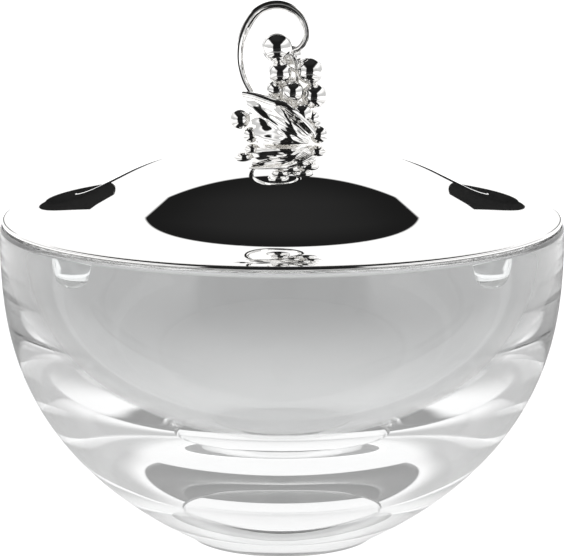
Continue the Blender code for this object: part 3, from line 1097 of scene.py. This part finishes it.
@dataclass
class VineLeaf:
    """The leaf round the front of the finial's foot, hollowed, veined and rolled over at its free edge."""

    crown_top: float
    crown_radius: float
    sheet: float = 0.45
    foot_left: tuple[float, float, float] = (-5.0, -3.3, 0.0)
    foot_right: tuple[float, float, float] = (5.2, -3.5, 0.0)
    foot_front: float = 2.4
    foot_lift: float = 0.55
    tip: tuple[float, float, float] = (-7.5, -1.0, 9.8)
    corner: tuple[float, float, float] = (6.2, -3.4, 2.2)
    edge_rise: float = 1.9
    edge_front: float = 2.2
    belly: float = 1.3
    hollow: float = 2.5
    hollow_at: tuple[float, float] = (0.34, 0.55)
    hollow_size: tuple[float, float] = (0.24, 0.42)
    vein_height: float = 0.24
    vein_turns: tuple[float, ...] = (12.0, 40.0, 66.0, 96.0)
    vein_width: float = 3.0
    vein_root: tuple[float, float] = (1.02, -0.08)
    ripple: float = 0.035
    ripples: float = 26.0
    ripple_turn: float = 60.0
    lip: float = 0.85
    lip_turn: float = 215.0
    lip_least: float = 0.25
    lip_ends: float = 0.08
    lip_step: float = 0.01
    columns: int = 110
    rows: int = 46
    lip_rows: int = 16

    def blade(self, across: float, up: float) -> Vector:
        """A point of the blade.

        Args:
            across: 0 at the tip's side to 1.
            up: 0 at the foot to 1 at the free edge.

        Returns:
            The point, in millimetres from the top of the crown.
        """
        bow = math.sin(math.pi * across)
        foot = Vector(self.foot_left).lerp(Vector(self.foot_right), across)
        foot.y -= self.foot_front * bow
        foot.z = self.foot_lift - (foot.x**2 + foot.y**2) / (2 * self.crown_radius / MM)
        edge = Vector(self.tip).lerp(Vector(self.corner), across)
        edge += Vector((0.0, -self.edge_front * bow, self.edge_rise * bow))
        point = foot.lerp(edge, up)
        point.y -= self.belly * math.sin(math.pi * up) * bow
        point.y += self.relief(across, up)
        return point

    def relief(self, across: float, up: float) -> float:
        """How far the blade is pushed back by its hollow, less the height of its veins.

        Args:
            across: 0 at the tip's side to 1.
            up: 0 at the foot to 1 at the free edge.

        Returns:
            The depth, in millimetres.
        """
        wide = (across - self.hollow_at[0]) / self.hollow_size[0]
        high = (up - self.hollow_at[1]) / self.hollow_size[1]
        hollow = self.hollow * math.exp(-(wide * wide) - high * high)
        over, rise = self.vein_root[0] - across, up - self.vein_root[1]
        turn, reach = math.degrees(math.atan2(rise, over)), math.hypot(rise, over)
        veins = sum(math.exp(-(((turn - v) * reach / self.vein_width) ** 2)) for v in self.vein_turns)
        rising = math.sin(math.pi * min(max(up, 0.0), 1.0)) ** 0.5
        rippled = self.ripple * math.sin(self.ripples * (reach + turn / self.ripple_turn))
        return hollow - (self.vein_height * veins + rippled) * rising

    def rolled(self, across: float) -> list[Vector]:
        """The rolled lip past the free edge, from the blade out, over and down to the front.

        Args:
            across: 0 at the tip's side to 1.

        Returns:
            Points round the lip.
        """
        edge, below = self.blade(across, 1.0), self.blade(across, 1.0 - 4 * self.lip_step)
        rise = (edge - below).normalized()
        right, left = min(across + self.lip_step, 1.0), max(across - self.lip_step, 0.0)
        out = (self.blade(right, 1.0) - self.blade(left, 1.0)).normalized().cross(rise).normalized()
        swelling = math.sin(math.pi * (self.lip_ends + (1 - 2 * self.lip_ends) * across)) ** 0.6
        size = self.lip * (self.lip_least + (1 - self.lip_least) * swelling)
        turns = [math.radians(self.lip_turn * k / self.lip_rows) for k in range(1, self.lip_rows + 1)]
        return [edge + out * size * (1 - math.cos(t)) + rise * size * math.sin(t) for t in turns]

    def build(self, material: bpy.types.Material) -> bpy.types.Object:
        """Shape the leaf.

        Args:
            material: Its finish.

        Returns:
            The leaf.
        """
        grid = []
        for i in range(self.columns + 1):
            across = i / self.columns
            grid.append([self.blade(across, j / self.rows) for j in range(self.rows + 1)] + self.rolled(across))
        raised = Vector((0.0, 0.0, self.crown_top))
        points = [[raised + point * MM for point in column] for column in grid]
        mesh = sheet_mesh("rolled_leaf", points, self.sheet * MM)
        return add_piece("rolled_leaf", mesh, material, Body.LID, ["vine_leaf"])


@dataclass
class GrapeBunch:
    """The beads and the branching stalk that they are soldered to."""

    crown_top: float
    stalk: tuple[tuple[float, float, float], ...] = (
        (0.8, 0.9, 1.2), (1.5, 1.1, 4.7), (3.1, 0.8, 8.4), (3.1, 0.5, 12.0), (2.9, 0.9, 15.4), (2.2, 0.6, 17.4),
    )
    stalk_radius: float = 0.5
    branch_radius: float = 0.36
    swell: float = 0.26
    pip: float = 0.16
    pip_size: float = 13.0
    columns: int = 56
    rows: int = 36

    def stalk_line(self) -> list[Vector]:
        """Points along the stalk's middle."""
        raised = Vector((0.0, 0.0, self.crown_top))
        return smooth_line([raised + Vector(point) * MM for point in self.stalk], 8)

    def bead(self, name: str, centre: Vector, radius: float, out: Vector) -> bpy.types.Mesh:
        """A bead with a small pip on its outer side.

        Args:
            name: Name of the mesh.
            centre: Its middle.
            radius: Its radius.
            out: Unit vector from the stalk.

        Returns:
            The bead.
        """
        outline = []
        for j in range(self.rows + 1):
            polar = math.pi * j / self.rows
            raised = self.pip * MM * math.exp(-((math.degrees(polar) / self.pip_size) ** 2))
            outline.append(((radius + raised) * abs(math.sin(polar)), (radius + raised) * math.cos(polar)))
        outline[0] = (0.0, outline[0][1])
        outline[-1] = (0.0, outline[-1][1])
        mesh = turned_mesh(name, outline, self.columns)
        mesh.transform(Matrix.Translation(centre) @ out.to_track_quat("Z", "Y").to_matrix().to_4x4())
        return mesh

    def build(self, material: bpy.types.Material) -> list[bpy.types.Object]:
        """Make the stalk, its branches and every bead.

        Args:
            material: Their finish.

        Returns:
            The stalk and the beads.
        """
        line = self.stalk_line()
        bm = bmesh.new()
        add_tube(bm, line, [self.stalk_radius * MM] * len(line), 16)
        pieces = []
        for node in sorted(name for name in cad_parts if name.startswith("grape_") and name[-1].isdigit()):
            low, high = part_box(node)
            centre, radius = (low + high) / 2, (high.z - low.z) / 2 + self.swell * MM
            root = min(line, key=lambda point: (point - centre).length + abs(point.z - centre.z))
            away = (centre - root).normalized()
            arch = (root + centre) / 2 + Vector((0.0, 0.0, 0.15 * (centre - root).length))
            branch = smooth_line([root, arch, centre], 6)
            add_tube(bm, branch, [self.branch_radius * MM] * len(branch), 12)
            mesh = self.bead(f"{node}_bead", centre, radius, (away + Vector((0.0, 0.0, -0.35))).normalized())
            pieces.append(add_piece(f"{node}_bead", mesh, material, Body.LID, [node]))
        stalk = finish_mesh(bm, "stalk")
        pieces.append(add_piece("stalk", stalk, material, Body.LID, ["grape_stalk"]))
        return pieces


@dataclass
class Collet:
    """The moulded round foot that the finial's pieces are soldered to."""

    crown_top: float
    crown_radius: float
    radius: float = 3.9 * MM
    height: float = 1.3 * MM
    gap: float = 0.3 * MM
    sides: int = 96

    def build(self, material: bpy.types.Material) -> bpy.types.Object:
        """Turn the collet, with a bead round its foot under a hollow neck.

        Args:
            material: Its finish.

        Returns:
            The collet.
        """
        low = self.crown_top + self.gap
        drop = self.radius**2 / (2 * self.crown_radius)
        bead = 0.3 * self.height
        outline = [(0.0, low), (self.radius - bead, low - drop)]
        outline += arc(self.radius - bead, low - drop + bead, bead, -90, 90, 12)
        outline += arc(self.radius - bead, low - drop + 2 * bead + 0.6 * bead, 0.6 * bead, -90, -180, 8)
        outline += [(self.radius - 2.2 * bead, low + self.height - 0.2 * bead)]
        outline += [(self.radius - 2.4 * bead, low + self.height), (0.0, low + self.height)]
        mesh = turned_mesh("moulded_collet", outline, self.sides)
        return add_piece("moulded_collet", mesh, material, Body.LID, ["finial_collet"])


@dataclass
class VineFinial:
    """The whole finial, standing on the crown of this lid."""

    lid: SpunLid

    def build(self, finish: CastSilverFinish) -> None:
        """Make every piece of the finial.

        Args:
            finish: The finish of them all.
        """
        material = finish.build()
        top, curve = self.lid.upper()[0][1], self.lid.crown_radius()
        Collet(top, curve).build(material)
        Tendril(top).build(material)
        VineLeaf(top, curve).build(material)
        GrapeBunch(top).build(material)


# ---------------------------------------------------------------- the studio


@dataclass(frozen=True)
class Surroundings:
    """The light from every direction: a bright panel behind, dimmer sides, and a dark roof and front.

    Directions are unit vectors (x, y, z), with the camera on the -y side.
    """

    back: float = 1.07
    back_width: float = 1.1
    back_edge: float = 0.15
    side_low: float = 0.62
    side_high: float = 1.12
    side_from: float = 0.2
    side_to: float = 0.5
    dark: float = 0.012
    dark_high: float = 0.024
    high_from: float = 0.68
    high_to: float = 0.95
    through_glass: float = 0.3
    glass_share: float = 1.01
    roof_side: float = 1.1
    roof_side_edge: float = 0.096
    roof_back: float = 1.035
    roof_back_edge: float = 0.012
    front_width: float = 0.62
    front_edge: float = 0.048

    def build(self) -> bpy.types.World:
        """Make the world.

        Returns:
            The world.
        """
        world = bpy.data.worlds.new("studio")
        world.use_nodes = True
        tree = world.node_tree
        split = tree.nodes.new("ShaderNodeSeparateXYZ")
        tree.links.new(tree.nodes.new("ShaderNodeTexCoord").outputs["Generated"], split.inputs[0])
        x, y, z = (split.outputs[axis] for axis in ("X", "Y", "Z"))
        off = math_node(tree, "ABSOLUTE", x)

        roof = math_node(tree, "MULTIPLY", below_node(tree, off, self.roof_side, z, self.roof_side_edge),
                         below_node(tree, y, self.roof_back, z, self.roof_back_edge))
        front = below_node(tree, off, -self.front_width, y, self.front_edge)
        dark = math_node(tree, "MAXIMUM", roof, front)
        side = ramp_node(tree, z, self.side_from, self.side_to, self.side_low, self.side_high)
        behind = below_node(tree, off, self.back_width, y, self.back_edge)
        panel = math_node(tree, "MULTIPLY_ADD", behind, math_node(tree, "SUBTRACT", self.back, side), side)
        gloom = ramp_node(tree, z, self.high_from, self.high_to, self.dark, self.dark_high)
        through = tree.nodes.new("ShaderNodeLightPath").outputs["Is Transmission Ray"]
        gloom = math_node(tree, "MULTIPLY_ADD", through, self.through_glass, gloom)
        share = math_node(tree, "MULTIPLY_ADD", through, self.glass_share - 1.0, 1.0)
        panel = math_node(tree, "MULTIPLY", panel, share)
        light = math_node(tree, "MULTIPLY_ADD", dark, math_node(tree, "SUBTRACT", gloom, panel), panel)
        tree.links.new(light, tree.nodes["Background"].inputs["Strength"])
        tree.nodes["Background"].inputs["Color"].default_value = (1, 1, 1, 1)
        return world


def staged_plate(name: str, width: float, height: float, material: bpy.types.Material) -> bpy.types.Object:
    """A flat plate of the studio, lying at the origin.

    Args:
        name: Its name.
        width: Its size along X.
        height: Its size along Y.
        material: Its material.

    Returns:
        The plate.
    """
    bm = bmesh.new()
    bmesh.ops.create_grid(bm, x_segments=1, y_segments=1, size=0.5)
    bmesh.ops.scale(bm, vec=(width, height, 1.0), verts=bm.verts)
    mesh = bpy.data.meshes.new(name)
    bm.to_mesh(mesh)
    bm.free()
    mesh.materials.append(material)
    plate = bpy.data.objects.new(name, mesh)
    bpy.context.scene.collection.objects.link(plate)
    return plate


@dataclass(frozen=True)
class Flag:
    """A dark plate behind the bowl: how far out and up its middle is, its size, and its lean outwards."""

    out: float
    up: float
    width: float
    height: float
    lean: float = 0.0


@dataclass
class Studio:
    """The pale floor with painted light and shade, the surroundings and the camera."""

    target: float = 53.8 * MM
    distance: float = 690.0 * MM
    elevation: float = 10.83
    lens: float = 215.1
    sensor: float = 36.0
    bounces: int = 32
    floor_size: float = 6.0
    floor_drop: float = 0.05 * MM
    pale: float = 0.85
    floor_roughness: float = 0.6
    near_glow: float = 0.42
    far_glow: float = 0.12
    back_glow: float = 0.9
    near_to: float = 0.16
    back_from: float = 0.36
    back_to: float = 0.468
    front_from: float = 0.15
    front_to: float = 0.24
    front_width: float = 0.62
    front_edge: float = 0.02
    front_shade: float = 0.04
    side_from: float = 0.1
    side_to: float = 0.22
    flag_shade: float = 0.02
    flag_roughness: float = 0.9
    flag_depth: float = 0.3
    flag_list: tuple[Flag, ...] = (Flag(0.1145, 0.121, 0.028, 0.123, 26.9), Flag(0.069, 0.0635, 0.034, 0.037))

    def camera(self) -> None:
        """Place the camera."""
        data = bpy.data.cameras.new("camera")
        data.lens = self.lens
        data.sensor_width = self.sensor
        camera = bpy.data.objects.new("camera", data)
        bpy.context.scene.collection.objects.link(camera)
        a = math.radians(self.elevation)
        back = Vector((0, -math.cos(a), math.sin(a)))
        camera.location = Vector((0, 0, self.target)) + back * self.distance
        camera.rotation_mode = "QUATERNION"
        camera.rotation_quaternion = (-back).to_track_quat("-Z", "Y")
        bpy.context.scene.camera = camera

    def floor_material(self) -> bpy.types.Material:
        """Pale, with painted light near the bowl and far behind, painted shade far in front, and white to the
        camera.

        Returns:
            The material.
        """
        dressing = Dressing("floor", (self.pale,) * 3, self.floor_roughness)
        tree = dressing.tree
        distance = tree.nodes.new("ShaderNodeVectorMath")
        distance.operation = "LENGTH"
        tree.links.new(dressing.place, distance.inputs[0])
        # Painted light: the floor glows brighter near the bowl, far out and to the sides, in place of light
        # falling on it.
        near = ramp_node(tree, distance.outputs["Value"], 0.0, self.near_to, self.near_glow, self.far_glow)
        far = ramp_node(tree, distance.outputs["Value"], self.back_from, self.back_to, 0.0, self.back_glow)
        split = tree.nodes.new("ShaderNodeSeparateXYZ")
        tree.links.new(dressing.place, split.inputs[0])
        off = math_node(tree, "ABSOLUTE", split.outputs["X"])
        # Painted shade: a near-black strip far in front of the bowl, where the floor's glow is cut off as well.
        strip = math_node(tree, "MULTIPLY_ADD", split.outputs["Y"], self.front_width, off)
        front = math_node(tree, "MULTIPLY", ramp_node(tree, strip, self.front_edge, -self.front_edge),
                          ramp_node(tree, split.outputs["Y"], -self.front_from, -self.front_to))
        dressing.tinted(front, (self.front_shade,) * 3)
        path = tree.nodes.new("ShaderNodeLightPath")
        direct = path.outputs["Is Camera Ray"]
        side = math_node(tree, "MULTIPLY", ramp_node(tree, off, self.side_from, self.side_to),
                         math_node(tree, "SUBTRACT", 1.0, path.outputs["Is Transmission Ray"]))
        lit = math_node(tree, "MULTIPLY", math_node(tree, "MAXIMUM", math_node(tree, "MAXIMUM", near, far), side),
                        math_node(tree, "SUBTRACT", 1.0, front))
        glow = math_node(tree, "MAXIMUM", lit, direct)
        dressing.shader.inputs["Emission Color"].default_value = (1, 1, 1, 1)
        tree.links.new(glow, dressing.shader.inputs["Emission Strength"])
        return dressing.material

    def flags(self) -> None:
        """Stand small dark flags behind the bowl, which only mirror-bright metal picks up."""
        material = Dressing("flag", (self.flag_shade,) * 3, self.flag_roughness).material
        for number, flag in enumerate(self.flag_list):
            for name, side in (("left", -1), ("right", 1)):
                plate = staged_plate(f"{name}_flag_{number}", flag.width, flag.height, material)
                plate.location = (side * flag.out, self.flag_depth, flag.up)
                plate.rotation_euler = (math.pi / 2, side * math.radians(flag.lean), 0.0)
                plate.visible_camera = plate.visible_transmission = False
                plate.visible_diffuse = plate.visible_shadow = False

    def floor(self) -> None:
        """Lay the floor."""
        floor = staged_plate("floor", self.floor_size, self.floor_size, self.floor_material())
        floor.location.z = -self.floor_drop

    def build(self) -> None:
        """Set up the studio."""
        self.camera()
        self.floor()
        self.flags()
        scene = bpy.context.scene
        scene.world = Surroundings().build()
        scene.view_settings.view_transform = "Standard"
        scene.cycles.max_bounces = self.bounces
        scene.cycles.glossy_bounces = self.bounces
        scene.cycles.transmission_bounces = self.bounces


def main() -> None:
    """Build every piece in order and report it."""
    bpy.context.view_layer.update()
    _, bowl_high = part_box("glass_bowl")
    CrystalBowl(radius=bowl_high.x, height=bowl_high.z).build(CrystalFinish())
    lid_low, lid_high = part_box("lid_shell")
    lid = SpunLid(radius=lid_high.x, edge_top=lid_low.z + SpunLid.sheet)
    lid.build(SpunSilverFinish())
    BumperSet(lid).build(RubberFinish())
    LidFixing().build()
    VineFinial(lid).build(CastSilverFinish())
    Studio().build()


if __name__ == "__main__":
    logging.basicConfig(level=logging.INFO, format="%(name)s: %(message)s")
    main()
